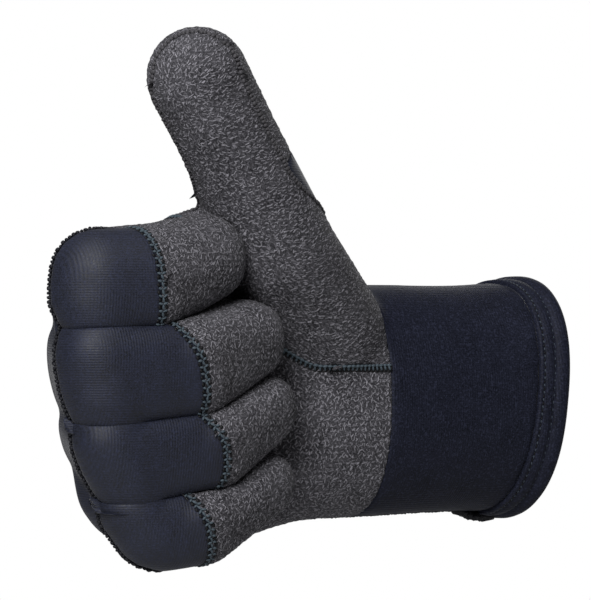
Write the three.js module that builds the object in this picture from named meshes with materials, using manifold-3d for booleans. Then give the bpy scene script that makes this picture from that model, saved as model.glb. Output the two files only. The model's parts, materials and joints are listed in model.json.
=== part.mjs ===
// A right-hand diving glove in 3 mm neoprene, in the form that it has when worn:
// fingers closed in a loose fist, thumb up.
// Millimetres. +X runs out of the glove through the cuff, +Z is the thumb side, -Y the palm side.
// The origin is the centre of the cuff's mouth.
import * as THREE from "three";
import { mergeVertices } from "three/addons/utils/BufferGeometryUtils.js";
import Module from "manifold-3d";

const wasm = await Module();
wasm.setup();

// Driving dimensions
const WALL = 3;
const SEAM_GAP = 0.3; // between two panels that are sewn together
const CUFF_LENGTH = 64.5; // from the mouth to the wrist seam
const CUFF_WIDTH = 73; // from the thumb side to the little finger side
const CUFF_THICKNESS = 57; // from the palm side to the back
const MOUTH_SLANT = 6; // degrees, so that the cuff is longer on the thumb side
const HEM_WIDTH = 11;
const HEM_PROUD = 2;
const SIDE_RIDGE_WIDTH = 5; // the cuff's closing seam, along the little finger side
const SIDE_RIDGE_PROUD = 1;
const HEM_BUMP_WIDTH = 10; // that seam's turned end under the hem
const HEM_BUMP_PROUD = 1.6;
const HAND_LENGTH = 119; // from the wrist seam to the foremost knuckle
const FIST_HEIGHT = 98; // across the four closed fingers
const FIST_THICKNESS = 65; // from the back of the hand to the front of the fingers
const FINGER_WIDTH = 29;
const THUMB_RISE = 110; // from the middle of the hand up to the thumb's tip
const THUMB_WIDTH = 31;

// How finely the round forms are faceted, outside and in the hollow
const OUTSIDE = { hand: 24, finger: 13, tip: 3 };
const HOLLOW = { hand: 16, finger: 9, tip: 2 };
const FINGER_SQUARE = 2.45; // 2 is a round section, more is squarer
const THUMB_SQUARE = 2.2;

// The cuff and the hand's flat part, from the mouth to the knuckles.
// along: share of the cuff's length; middles and sizes: shares of its width and thickness
const CUFF_SECTIONS = [
  { along: -0.3, width: 1.0, thickness: 1.02, square: 2.45 },
  { along: 0.0, width: 1.0, thickness: 1.02, square: 2.4 },
  { along: 0.17, width: 0.995, thickness: 1.0, square: 2.3 },
  { along: 0.3, width: 0.98, thickness: 0.975, square: 2.2 },
  { along: 0.5, width: 0.975, thickness: 0.955, square: 2.15 },
  { along: 0.75, width: 0.98, thickness: 0.93, square: 2.2 },
];
// along: share of the hand's length past the wrist seam; rise and height: shares of the fist's
// height; back and depth: shares of its thickness
const HAND_SECTIONS = [
  { along: 0.0, rise: 0.0, height: 0.735, back: 0.0, depth: 0.8, square: 2.25 },
  { along: 0.18, rise: 0.01, height: 0.77, back: 0.0, depth: 0.73, square: 2.3 },
  { along: 0.35, rise: 0.0, height: 0.85, back: 0.03, depth: 0.58, square: 2.4 },
  { along: 0.52, rise: 0.01, height: 0.88, back: 0.045, depth: 0.52, square: 2.5 },
  { along: 0.68, rise: 0.025, height: 0.86, back: 0.06, depth: 0.48, square: 2.6 },
  { along: 0.75, rise: 0.03, height: 0.7, back: 0.06, depth: 0.34, square: 2.6 },
];
// The middle of each joint, and the outside width there.
// along: share of the hand's length; back: share of the fist's thickness; rise: share of its
// height; width: share of the finger width
const FINGERS = {
  index: [
    { joint: "root", along: 0.7, back: 0.07, rise: 0.365, width: 1.02 },
    { joint: "knuckle", along: 0.873, back: -0.46, rise: 0.38, width: 0.97 },
    { joint: "middle", along: 0.765, back: -0.485, rise: 0.384, width: 0.98 },
    { joint: "tip", along: 0.568, back: -0.415, rise: 0.428, width: 0.93 },
  ],
  middle: [
    { joint: "root", along: 0.715, back: 0.08, rise: 0.11, width: 0.98 },
    { joint: "knuckle", along: 0.868, back: -0.477, rise: 0.103, width: 0.93 },
    { joint: "middle", along: 0.638, back: -0.508, rise: 0.127, width: 0.9 },
    { joint: "tip", along: 0.452, back: -0.43, rise: 0.17, width: 0.81 },
  ],
  ring: [
    { joint: "root", along: 0.685, back: 0.075, rise: -0.13, width: 0.88 },
    { joint: "knuckle", along: 0.83, back: -0.462, rise: -0.144, width: 0.8 },
    { joint: "middle", along: 0.57, back: -0.49, rise: -0.104, width: 0.77 },
    { joint: "tip", along: 0.405, back: -0.415, rise: -0.035, width: 0.74 },
  ],
  little: [
    { joint: "root", along: 0.55, back: 0.06, rise: -0.31, width: 0.77 },
    { joint: "knuckle", along: 0.73, back: -0.43, rise: -0.366, width: 0.76 },
    { joint: "middle", along: 0.59, back: -0.46, rise: -0.35, width: 0.77 },
    { joint: "tip", along: 0.39, back: -0.385, rise: -0.247, width: 0.69 },
  ],
};
// back: share of the fist's thickness; rise: share of the thumb's rise; width: share of its width
const THUMB = [
  { joint: "wrist", along: 0.125, back: -0.18, rise: 0.2, width: 1.14 },
  { joint: "ball", along: 0.33, back: -0.36, rise: 0.415, width: 1.08 },
  { joint: "middle", along: 0.509, back: -0.46, rise: 0.705, width: 0.92 },
  { joint: "tip", along: 0.61, back: -0.49, rise: 0.866, width: 0.95 },
];
// The fold of skin between the thumb and the index finger
const WEB = [
  { joint: "index", along: 0.78, back: -0.2, rise: 0.395, width: 0.92 },
  { joint: "middle", along: 0.6, back: -0.2, rise: 0.422, width: 0.88 },
  { joint: "thumb", along: 0.42, back: -0.22, rise: 0.5, width: 0.85 },
];

// Where the back panel meets the palm panel on the sides of the hand, by share of the hand's
// length, as a share of the fist's thickness
const SIDE_SEAM = [
  { along: -0.2, back: 0.0 },
  { along: 0.0, back: 0.0 },
  { along: 0.35, back: 0.03 },
  { along: 0.66, back: 0.07 },
  { along: 0.86, back: -0.46 },
  { along: 1.1, back: -1.1 },
];
const KNUCKLE_SLOPE = 0.16; // how far the little finger's side of the knuckles falls back
const THUMB_SEAM_TURN = 33; // degrees that the thumb is turned about its length
const THUMB_SEAM_FRONT = 0.28; // of the thumb's width, in front of its middle
const THUMB_SEAM_BLEND = { start: 0.36, end: 0.62 }; // of its rise, where the side seam turns up it
const THENAR_SEAM_RISE = 0.112; // of the fist's height
const WEB_SEAM_ALONG = 0.58; // of the hand's length
const WEB_TOP_RISE = 0.6; // of the fist's height
const THUMB_BACK_SEAM = { along: 0.45, back: -0.45, rise: 0.62 };
const KNUCKLE_SEAM_TURN = 15.5; // degrees that the knuckle seam leans towards the back
// The seam round each bent finger, between its navy back and its grey tip.
// along: share of the hand's length; lean: how far it moves to the tip for each mm up the finger
const FINGER_SEAMS = {
  index: { along: 0.776, lean: -0.09 },
  middle: { along: 0.666, lean: -0.41 },
  ring: { along: 0.591, lean: -0.475 },
  little: { along: 0.624, lean: -0.437 },
};
// The sheet that parts the back from the palm side: its steps, and how far it reaches past the
// hand, by share of the hand's length, the fist's height and the thumb's rise
const SEAM_SHEET = { columns: 14, rows: 9, left: 1.1, right: -0.04, bottom: -0.6, top: 1.1 };

const FAR = 400; // longer than the glove, for the blocks that cut it

// The fabrics
const NAVY = new THREE.MeshStandardMaterial({ color: 0x25273a, roughness: 0.8, metalness: 0 });
const NAVY_CUFF = new THREE.MeshStandardMaterial({ color: 0x1d1f2c, roughness: 0.85, metalness: 0 });
const GREY = new THREE.MeshStandardMaterial({ color: 0x4b4a50, roughness: 0.7, metalness: 0 });

function solid(geometry) {
  geometry.deleteAttribute("normal");
  geometry.deleteAttribute("uv");
  const merged = mergeVertices(geometry, 1e-4);
  const corners = [];
  for (let i = 0; i < merged.index.count; i += 3) {
    const [a, b, c] = [0, 1, 2].map((k) => merged.index.getX(i + k));
    if (a !== b && b !== c && c !== a) corners.push(a, b, c);
  }
  const mesh = new wasm.Mesh({
    numProp: 3,
    vertProperties: new Float32Array(merged.attributes.position.array),
    triVerts: new Uint32Array(corners),
  });
  return new wasm.Manifold(mesh);
}

function join(solids) {
  return solids.reduce((whole, next) => whole.add(next));
}

function lengthwise(along) {
  return -CUFF_LENGTH - along * HAND_LENGTH;
}

function place(row, height) {
  return new THREE.Vector3(lengthwise(row.along), row.back * FIST_THICKNESS, row.rise * height);
}

// How far out a squared circle lies at a turn, as a share of its half width
function squareReach(turn, square) {
  return (Math.abs(Math.cos(turn)) ** square + Math.abs(Math.sin(turn)) ** square) ** (-1 / square);
}

// A limb between two balls, with its surface moved out by grow and its section squared a little
function limb(start, end, startRadius, endRadius, square, grow) {
  const facets = grow < 0 ? HOLLOW : OUTSIDE;
  const length = start.distanceTo(end);
  const r0 = startRadius + grow;
  const r1 = endRadius + grow;
  const lean = Math.asin((r0 - r1) / length);
  const profile = [];
  for (let k = 0; k <= facets.tip; k += 1) {
    const turn = -Math.PI / 2 + ((lean + Math.PI / 2) * k) / facets.tip;
    profile.push(new THREE.Vector2(r0 * Math.cos(turn), r0 * Math.sin(turn)));
  }
  for (let k = 0; k <= facets.tip; k += 1) {
    const turn = lean + ((Math.PI / 2 - lean) * k) / facets.tip;
    profile.push(new THREE.Vector2(r1 * Math.cos(turn), length + r1 * Math.sin(turn)));
  }
  profile[0].x = 0;
  profile[profile.length - 1].x = 0;
  const shape = new THREE.LatheGeometry(profile, facets.finger);
  const spots = shape.attributes.position;
  for (let i = 0; i < spots.count; i += 1) {
    const reach = squareReach(Math.atan2(spots.getX(i), spots.getZ(i)), square);
    spots.setXYZ(i, spots.getX(i) * reach, spots.getY(i), spots.getZ(i) * reach);
  }
  const along = end.clone().sub(start).normalize();
  shape.applyQuaternion(new THREE.Quaternion().setFromUnitVectors(new THREE.Vector3(0, 1, 0), along));
  shape.translate(start.x, start.y, start.z);
  return solid(shape);
}

// The limbs through a table of joints, from one row to another
function limbs(joints, height, width, square, first, last, grow) {
  const made = [];
  for (let k = first; k < last; k += 1) {
    const [from, to] = [joints[k], joints[k + 1]];
    const radii = [(from.width * width) / 2, (to.width * width) / 2];
    made.push(limb(place(from, height), place(to, height), radii[0], radii[1], square, grow));
  }
  return join(made);
}

function fingerLimbs(finger, first, last, grow) {
  return limbs(finger, FIST_HEIGHT, FINGER_WIDTH, FINGER_SQUARE, first, last, grow);
}

function handSections() {
  const cuff = CUFF_SECTIONS.map((row) => ({
    x: -row.along * CUFF_LENGTH,
    z: 0,
    y: 0,
    halfHeight: (row.width * CUFF_WIDTH) / 2,
    halfDepth: (row.thickness * CUFF_THICKNESS) / 2,
    square: row.square,
  }));
  const hand = HAND_SECTIONS.map((row) => ({
    x: lengthwise(row.along),
    z: row.rise * FIST_HEIGHT,
    y: row.back * FIST_THICKNESS,
    halfHeight: (row.height * FIST_HEIGHT) / 2,
    halfDepth: (row.depth * FIST_THICKNESS) / 2,
    square: row.square,
  }));
  return [...cuff, ...hand];
}

// The cuff and the hand's flat part as one closed form, with its surface moved out by grow
function handForm(grow) {
  const rows = handSections();
  const last = rows.length - 1;
  const sides = grow < 0 ? HOLLOW.hand : OUTSIDE.hand;
  const form = new THREE.CylinderGeometry(1, 1, last, sides, last);
  const spots = form.attributes.position;
  for (let i = 0; i < spots.count; i += 1) {
    const row = rows[Math.round(last / 2 - spots.getY(i))];
    const endwise = row === rows[last] ? grow : 0;
    const [u, v] = [spots.getX(i), spots.getZ(i)];
    const reach = Math.hypot(u, v);
    const turn = Math.atan2(v, u);
    const out = reach * squareReach(turn, row.square);
    spots.setXYZ(
      i,
      row.x - endwise,
      row.y + out * (row.halfDepth + grow) * Math.cos(turn),
      row.z - out * (row.halfHeight + grow) * Math.sin(turn),
    );
  }
  return solid(form);
}

// The ridge of the cuff's closing seam, under it on the little finger side
function sideRidge(width, proud) {
  const rows = handSections().slice(0, CUFF_SECTIONS.length + 1);
  const low = rows.map((row) => new THREE.Vector3(row.x, 0, width / 2 - proud - row.halfHeight));
  const pieces = [];
  for (let k = 1; k < low.length; k += 1) {
    pieces.push(limb(low[k - 1], low[k], width / 2, width / 2, 2, 0));
  }
  return join(pieces);
}

// Everything on the far side of a flat cut
function beyond(point, direction) {
  const block = new THREE.BoxGeometry(FAR, FAR, FAR);
  block.translate(0, FAR / 2, 0);
  const towards = direction.clone().normalize();
  block.applyQuaternion(new THREE.Quaternion().setFromUnitVectors(new THREE.Vector3(0, 1, 0), towards));
  block.translate(point.x, point.y, point.z);
  return solid(block);
}

// Everything on the palm side of a bent line through a knuckle, seen from the thumb side
function beforeKnuckle(finger, shift) {
  const [root, knuckle, middle] = finger.map((row) => place(row, FIST_HEIGHT));
  const down = knuckle.clone().sub(root).setZ(0).normalize();
  const away = middle.clone().sub(knuckle).setZ(0).normalize();
  const fold = away.clone().sub(down).normalize();
  const lean = THREE.MathUtils.degToRad(KNUCKLE_SEAM_TURN);
  const outline = [
    new THREE.Vector2(knuckle.x - FAR * Math.cos(lean), knuckle.y + FAR * Math.sin(lean)),
    new THREE.Vector2(knuckle.x - FAR, knuckle.y - FAR),
    new THREE.Vector2(knuckle.x + FAR, knuckle.y - FAR),
    new THREE.Vector2(knuckle.x + FAR * fold.x, knuckle.y + FAR * fold.y),
    new THREE.Vector2(knuckle.x, knuckle.y),
  ];
  const block = new THREE.ExtrudeGeometry(new THREE.Shape(outline), { depth: FAR, bevelEnabled: false });
  block.translate(0, shift, -FAR / 2);
  return solid(block);
}

function interpolate(rows, key, value, x) {
  const after = rows.findIndex((row) => row[key] >= x);
  if (after === 0) return rows[0][value];
  if (after < 0) return rows[rows.length - 1][value];
  const [low, high] = [rows[after - 1], rows[after]];
  return low[value] + ((high[value] - low[value]) * (x - low[key])) / (high[key] - low[key]);
}

// How far back the seam between the palm side and the back lies at a place in side view
function seamBack(x, z) {
  const slope = KNUCKLE_SLOPE * Math.max(0, FIST_HEIGHT / 4 - z);
  const along = (-CUFF_LENGTH - x + slope) / HAND_LENGTH;
  const onHand = interpolate(SIDE_SEAM, "along", "back", along) * FIST_THICKNESS;
  const rise = z / THUMB_RISE;
  const middleX = lengthwise(interpolate(THUMB, "rise", "along", rise));
  const middleY = interpolate(THUMB, "rise", "back", rise) * FIST_THICKNESS;
  const turn = THREE.MathUtils.degToRad(THUMB_SEAM_TURN);
  const onThumb = middleY - Math.tan(turn) * (x - middleX) - THUMB_SEAM_FRONT * THUMB_WIDTH;
  const share = THREE.MathUtils.smoothstep(rise, THUMB_SEAM_BLEND.start, THUMB_SEAM_BLEND.end);
  return onHand * (1 - share) + onThumb * share;
}

// Everything behind the side seams
function behindSideSeams(shift) {
  const left = lengthwise(SEAM_SHEET.left);
  const right = lengthwise(SEAM_SHEET.right);
  const bottom = SEAM_SHEET.bottom * FIST_HEIGHT;
  const top = SEAM_SHEET.top * THUMB_RISE;
  const [wide, high] = [right - left, top - bottom];
  const block = new THREE.BoxGeometry(wide, WALL, high, SEAM_SHEET.columns, 1, SEAM_SHEET.rows);
  block.translate((left + right) / 2, 0, (top + bottom) / 2);
  const spots = block.attributes.position;
  for (let i = 0; i < spots.count; i += 1) {
    const front = spots.getY(i) < 0;
    spots.setY(i, front ? seamBack(spots.getX(i), spots.getZ(i)) + shift : FAR / 2);
  }
  return solid(block);
}

// The cuff, hand and thumb with the fingers as far as their knuckle seams
function handAndThumb(grow) {
  const proximal = Object.values(FINGERS).map((finger) => {
    const whole = fingerLimbs(finger, 0, 1, grow);
    return grow < 0 ? whole : whole.subtract(beforeKnuckle(finger, SEAM_GAP));
  });
  return join([
    handForm(grow),
    limbs(THUMB, THUMB_RISE, THUMB_WIDTH, THUMB_SQUARE, 0, 3, grow),
    fingerLimbs(WEB, 0, 2, grow),
    ...proximal,
  ]);
}

function bentFinger(finger, grow) {
  return fingerLimbs(finger, 1, 3, grow);
}

const group = new THREE.Group();

function addPiece(name, piece, material) {
  const mesh = piece.getMesh();
  const geometry = new THREE.BufferGeometry();
  geometry.setAttribute("position", new THREE.BufferAttribute(mesh.vertProperties, 3));
  geometry.setIndex(new THREE.BufferAttribute(mesh.triVerts, 1));
  geometry.computeVertexNormals();
  const node = new THREE.Mesh(geometry, material);
  node.name = name;
  group.add(node);
}

// The bent fingers, each clear of the one above it
const fists = Object.entries(FINGERS);
let taken = null;
for (const [name, finger] of fists) {
  const region = beforeKnuckle(finger, 0);
  let shell = bentFinger(finger, 0).intersect(region).subtract(bentFinger(finger, -WALL));
  if (taken) shell = shell.subtract(taken);
  const { along, lean } = FINGER_SEAMS[name];
  const middle = finger.find((row) => row.joint === "middle");
  const seam = place({ ...middle, along }, FIST_HEIGHT);
  const tipward = new THREE.Vector3(1, 0, -lean).normalize();
  const edge = seam.clone().addScaledVector(tipward, SEAM_GAP);
  addPiece(`finger_back_${name}`, shell.subtract(beyond(seam, tipward)), NAVY);
  addPiece(`fingertip_${name}`, shell.intersect(beyond(edge, tipward)), GREY);
  const room = bentFinger(finger, SEAM_GAP).intersect(beforeKnuckle(finger, SEAM_GAP));
  taken = taken ? taken.add(room) : room;
}

// The hand, its cuff and its thumb
const hollowFingers = join(fists.map(([, finger]) => bentFinger(finger, -WALL)));
const shell = handAndThumb(0).subtract(handAndThumb(-WALL)).subtract(hollowFingers).subtract(taken);
const outward = new THREE.Vector3(1, 0, 0);
const slant = THREE.MathUtils.degToRad(MOUTH_SLANT);
const mouthward = new THREE.Vector3(Math.cos(slant), 0, -Math.sin(slant));
const hemStart = new THREE.Vector3(-HEM_WIDTH, 0, 0);
const wrist = new THREE.Vector3(-CUFF_LENGTH, 0, 0);
const wristGap = new THREE.Vector3(-CUFF_LENGTH - SEAM_GAP, 0, 0);
const ridge = sideRidge(SIDE_RIDGE_WIDTH, SIDE_RIDGE_PROUD).subtract(handForm(-WALL));
const cuff = shell.add(ridge).intersect(beyond(wrist, outward)).subtract(beyond(hemStart, mouthward));
const hand = shell.subtract(beyond(wristGap, outward));
addPiece("cuff", cuff, NAVY_CUFF);

const hemRim = hemStart.clone().addScaledVector(mouthward, SEAM_GAP);
const mouth = new THREE.Vector3(0, 0, 0);
const hem = handForm(HEM_PROUD)
  .add(sideRidge(HEM_BUMP_WIDTH, HEM_PROUD + HEM_BUMP_PROUD))
  .subtract(handForm(-WALL))
  .intersect(beyond(hemRim, mouthward))
  .subtract(beyond(mouth, mouthward));
addPiece("cuff_hem", hem, NAVY_CUFF);

const back = hand.intersect(behindSideSeams(SEAM_GAP));
const front = hand.subtract(behindSideSeams(0));
const thumbLine = [THUMB[1], THUMB[3]].map((row) => place(row, THUMB_RISE));
const thumbward = thumbLine[1].clone().sub(thumbLine[0]).normalize();
const up = new THREE.Vector3(0, 0, 1);
const overFist = beyond(new THREE.Vector3(0, 0, WEB_TOP_RISE * FIST_HEIGHT), up);
const thumbBackSeam = place(THUMB_BACK_SEAM, THUMB_RISE);
const thumbBackEdge = thumbBackSeam.clone().addScaledVector(thumbward, SEAM_GAP);
const tipBack = back.intersect(overFist).intersect(beyond(thumbBackEdge, thumbward));
addPiece("hand_back", back.subtract(beyond(thumbBackSeam, thumbward).intersect(overFist)), NAVY);
addPiece("thumb_tip_back", tipBack, GREY);

// The ball of the thumb and the thumb, down to the seam across the palm and back to the web
function thumbSide(gap) {
  const thenarSeam = new THREE.Vector3(0, 0, THENAR_SEAM_RISE * FIST_HEIGHT - gap);
  const webSeam = new THREE.Vector3(lengthwise(WEB_SEAM_ALONG) - gap, 0, 0);
  const webTop = new THREE.Vector3(0, 0, WEB_TOP_RISE * FIST_HEIGHT - gap);
  const ball = beyond(thenarSeam, up).intersect(beyond(webSeam, outward));
  return ball.add(beyond(webTop, up));
}
addPiece("thumb_panel", front.intersect(thumbSide(0)), GREY);
addPiece("palm", front.subtract(thumbSide(SEAM_GAP)), GREY);

export default group;
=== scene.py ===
import json
import math
import random

import bmesh
import bpy
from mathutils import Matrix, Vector, noise
from mathutils.bvhtree import BVHTree


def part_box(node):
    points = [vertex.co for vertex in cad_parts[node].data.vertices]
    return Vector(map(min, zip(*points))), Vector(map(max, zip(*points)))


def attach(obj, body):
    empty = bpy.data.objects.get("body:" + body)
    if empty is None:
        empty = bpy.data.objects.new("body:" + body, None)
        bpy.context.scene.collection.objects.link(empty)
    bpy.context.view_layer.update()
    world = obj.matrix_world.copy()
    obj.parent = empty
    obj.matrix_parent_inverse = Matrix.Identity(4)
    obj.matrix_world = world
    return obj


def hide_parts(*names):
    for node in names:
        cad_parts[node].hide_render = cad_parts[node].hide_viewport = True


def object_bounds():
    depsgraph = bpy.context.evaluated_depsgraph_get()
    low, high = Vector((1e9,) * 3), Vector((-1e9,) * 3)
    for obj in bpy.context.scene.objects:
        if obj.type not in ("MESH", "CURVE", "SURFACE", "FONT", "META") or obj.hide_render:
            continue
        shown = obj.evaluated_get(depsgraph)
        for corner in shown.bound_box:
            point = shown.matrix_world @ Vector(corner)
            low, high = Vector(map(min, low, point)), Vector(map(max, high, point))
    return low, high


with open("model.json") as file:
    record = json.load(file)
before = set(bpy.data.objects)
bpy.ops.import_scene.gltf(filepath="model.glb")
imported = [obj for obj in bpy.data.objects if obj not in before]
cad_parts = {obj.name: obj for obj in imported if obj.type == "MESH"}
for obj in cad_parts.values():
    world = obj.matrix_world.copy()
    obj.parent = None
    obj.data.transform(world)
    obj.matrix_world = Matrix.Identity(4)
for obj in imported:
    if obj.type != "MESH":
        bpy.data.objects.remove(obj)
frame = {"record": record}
cad_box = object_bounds()

# The glove's blank: the hand, the thumb and the cuff as one smooth skin of 3 mm neoprene, as it
# lies over a closed hand. The real one is sewn from flat panels and takes this form when worn.
# Everything that follows is cut from this skin or sewn on it.
MM = 0.001
WALL = 3 * MM
CUFF_LENGTH = -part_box("cuff")[0].x
CUFF_WIDTH = 73 * MM
CUFF_THICKNESS = 57 * MM
HAND_LENGTH = 119 * MM
FIST_HEIGHT = 98 * MM
FIST_THICKNESS = 65 * MM
FINGER_WIDTH = 29 * MM
THUMB_RISE = 110 * MM
THUMB_WIDTH = 31 * MM
# How square a limb's section is above and below its middle, where 2 is round. Where two fingers
# lie side by side they are squarer.
ROUND = (2.1, 2.1)
THUMB_SQUARE = (2.2, 2.2)
FINGER_SQUARES = {
    "index": (2.05, 3.6),
    "middle": (3.6, 3.6),
    "ring": (3.6, 3.6),
    "little": (3.6, 2.2),
}
# A side squarer than SQUEEZED is wider by SQUEEZE, to reach into the next finger before both are
# pressed flat
SQUEEZED = 3.0
SQUEEZE = 1.12
# How far a fingertip goes back to round
TIP_ROUNDING = 0.7
# How far the stretched neoprene fills the gap between two knuckles, as a share of their width
WEBBED = 0.95
# along and sizes as shares of the cuff's length, width and thickness, and the section's squareness
CUFF_SECTIONS = [
    (-0.3, 1.0, 1.02, 2.45),
    (0.0, 1.0, 1.02, 2.4),
    (0.17, 0.995, 1.0, 2.3),
    (0.3, 0.98, 0.975, 2.2),
    (0.5, 0.975, 0.955, 2.15),
    (0.75, 0.98, 0.93, 2.2),
]
# along: share of the hand's length; rise, height: of the fist's height; back, depth: of its
# thickness; and the section's squareness
HAND_SECTIONS = [
    (0.0, 0.0, 0.735, 0.0, 0.8, 2.25),
    (0.18, 0.01, 0.77, 0.0, 0.73, 2.3),
    (0.35, 0.0, 0.85, 0.03, 0.58, 2.4),
    (0.52, 0.01, 0.88, 0.045, 0.52, 2.5),
    (0.68, 0.025, 0.86, 0.06, 0.48, 2.6),
    (0.75, 0.03, 0.7, 0.06, 0.34, 2.6),
]
# Each joint: along, back and rise of its middle, and its width
FINGERS = {
    "index": [
        (0.7, 0.07, 0.365, 1.02),
        (0.873, -0.46, 0.38, 0.97),
        (0.765, -0.485, 0.384, 0.98),
        (0.568, -0.415, 0.445, 0.87),
    ],
    "middle": [
        (0.715, 0.08, 0.11, 0.98),
        (0.868, -0.477, 0.103, 0.93),
        (0.638, -0.508, 0.127, 0.9),
        (0.452, -0.43, 0.2, 0.8),
    ],
    "ring": [
        (0.685, 0.075, -0.13, 0.88),
        (0.83, -0.462, -0.144, 0.8),
        (0.57, -0.49, -0.104, 0.77),
        (0.405, -0.415, -0.008, 0.74),
    ],
    "little": [
        (0.55, 0.06, -0.31, 0.77),
        (0.73, -0.43, -0.366, 0.76),
        (0.59, -0.46, -0.35, 0.77),
        (0.39, -0.385, -0.236, 0.69),
    ],
}
THUMB = [
    (0.125, -0.18, 0.2, 1.14),
    (0.33, -0.36, 0.415, 1.08),
    (0.509, -0.46, 0.705, 0.92),
    (0.61, -0.49, 0.866, 0.95),
]
WEB = [
    (0.78, -0.2, 0.395, 0.92),
    (0.6, -0.2, 0.422, 0.88),
    (0.42, -0.22, 0.5, 0.85),
]
# How finely limbs and sections are divided, and how fine and how even the skins are
LIMB_STEPS = 14
LIMB_TURNS = 48
SECTION_TURNS = 96
SECTION_CUTS = 60
SKIN_VOXEL = 1.05 * MM
SKIN_ROUNDS = 24
FINGER_VOXEL = 0.96 * MM
FINGER_ROUNDS = 10


def lengthwise(along):
    """The x of a place along the hand, given as a share of its length."""
    return -CUFF_LENGTH - along * HAND_LENGTH


def joints(table, height, width):
    """The middle and the radius of each joint of a finger or the thumb."""
    return [
        (Vector((lengthwise(along), back * FIST_THICKNESS, rise * height)), wide * width / 2)
        for along, back, rise, wide in table
    ]


def square_reach(turn, square):
    """How far out a squared circle lies at a turn, as a share of its half width."""
    return (abs(math.cos(turn)) ** square + abs(math.sin(turn)) ** square) ** (-1 / square)


def add_mesh(bm, part):
    """Adds the faces of one bmesh to another."""
    mesh = bpy.data.meshes.new("part")
    part.to_mesh(mesh)
    part.free()
    bm.from_mesh(mesh)
    bpy.data.meshes.remove(mesh)


def smooth_step(x, low, high):
    t = min(max((x - low) / (high - low), 0.0), 1.0)
    return t * t * (3 - 2 * t)


def add_limb(bm, start, end, squares, rounding=0.0):
    """A rounded limb between two joints, spun from its profile, then squared above and below.
    It grows round again towards its end by the share rounding."""
    (low, low_radius), (high, high_radius) = start, end
    length = (high - low).length
    lean = math.asin((low_radius - high_radius) / length)
    profile = []
    for k in range(LIMB_STEPS + 1):
        turn = -math.pi / 2 + (lean + math.pi / 2) * k / LIMB_STEPS
        profile.append((low_radius * math.cos(turn), low_radius * math.sin(turn)))
    for k in range(LIMB_STEPS + 1):
        turn = lean + (math.pi / 2 - lean) * k / LIMB_STEPS
        profile.append((high_radius * math.cos(turn), length + high_radius * math.sin(turn)))
    limb = bmesh.new()
    verts = [limb.verts.new((max(out, 0.0), up, 0.0)) for out, up in profile]
    edges = [limb.edges.new(pair) for pair in zip(verts, verts[1:])]
    bmesh.ops.spin(
        limb, geom=verts + edges, cent=(0, 0, 0), axis=(0, 1, 0), angle=2 * math.pi,
        steps=LIMB_TURNS, use_merge=True,
    )
    bmesh.ops.remove_doubles(limb, verts=limb.verts, dist=1e-6)
    turned = Vector((0, 1, 0)).rotation_difference((high - low).normalized()).to_matrix()
    for v in limb.verts:
        square = squares[0] if v.co.z > 0 else squares[1]
        square += (ROUND[0] - square) * rounding * smooth_step(v.co.y, 0, length)
        reach = square_reach(math.atan2(v.co.x, v.co.z), square)
        out = math.hypot(v.co.x, v.co.z)
        sideways = (v.co.z / out) ** 2 if out > 1e-6 else 0.0
        lift = SQUEEZE if square > SQUEEZED else 1.0
        blunt = 1.0
        if v.co.y < 0:
            blunt = square_reach(math.atan2(-v.co.y, out), 2 + (square - 2) * sideways)
        wide = v.co.x * reach * blunt
        high_up = v.co.z * reach * lift * blunt
        v.co = low + turned @ Vector((wide, v.co.y * blunt, high_up))
    add_mesh(bm, limb)


def add_limbs(bm, chain, squares):
    """The limbs between the joints of a chain, of which the last goes back to round."""
    for start, end in zip(chain, chain[1:]):
        add_limb(bm, start, end, squares, TIP_ROUNDING if end is chain[-1] else 0.0)


def knuckle_line(z):
    """Where the line through the bent knuckles lies along the hand. It goes on past both ends."""
    spots = sorted((chain[1][0].z, chain[1][0].x) for chain in finger_joints.values())
    k = next((i for i in range(len(spots) - 2) if z < spots[i + 1][0]), len(spots) - 2)
    (low_z, low_x), (high_z, high_x) = spots[k], spots[k + 1]
    return low_x + (high_x - low_x) * (z - low_z) / (high_z - low_z)


def line_up(bm, chain):
    """Leans a finger's bent end so that its face lies along the line through the knuckles."""
    start, knuckle, seam = (middle for middle, _ in chain[:3])
    for v in bm.verts:
        share = smooth_step(-v.co.x, -max(start.x, seam.x), -knuckle.x)
        v.co.x += share * (knuckle_line(v.co.z) - knuckle.x)


def section_rows():
    """The flat part's sections: x, z and y of the middle, half height, half depth, squareness."""
    rows = [
        (-along * CUFF_LENGTH, 0, 0, wide * CUFF_WIDTH / 2, thick * CUFF_THICKNESS / 2, square)
        for along, wide, thick, square in CUFF_SECTIONS
    ]
    for along, rise, height, back, depth, square in HAND_SECTIONS:
        middle = (lengthwise(along), rise * FIST_HEIGHT, back * FIST_THICKNESS)
        rows.append((*middle, height * FIST_HEIGHT / 2, depth * FIST_THICKNESS / 2, square))
    return rows


def section_at(x):
    """The section at x, on a smooth curve through the rows."""
    rows = section_rows()
    last = len(rows) - 2
    k = next((i for i in range(last) if rows[i + 1][0] <= x), last)
    before, low, high = rows[max(k - 1, 0)], rows[k], rows[k + 1]
    after = rows[min(k + 2, last + 1)]
    span = high[0] - low[0]
    t = (x - low[0]) / span

    def through(i):
        leave = (high[i] - before[i]) / (high[0] - before[0]) * span
        reach = (after[i] - low[i]) / (after[0] - low[0]) * span
        part = low[i] * (2 * t**3 - 3 * t**2 + 1) + leave * (t**3 - 2 * t**2 + t)
        return part + high[i] * (3 * t**2 - 2 * t**3) + reach * (t**3 - t**2)

    return [through(i) for i in range(1, 6)]


def on_section(x, turn, grow=0.0):
    """A point of the flat part's surface, moved out by grow. A turn of 0 is the back."""
    z, y, half_height, half_depth, square = section_at(x)
    reach = square_reach(turn, square)
    return Vector((
        x,
        y + reach * (half_depth + grow) * math.cos(turn),
        z + reach * (half_height + grow) * math.sin(turn),
    ))


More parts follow.
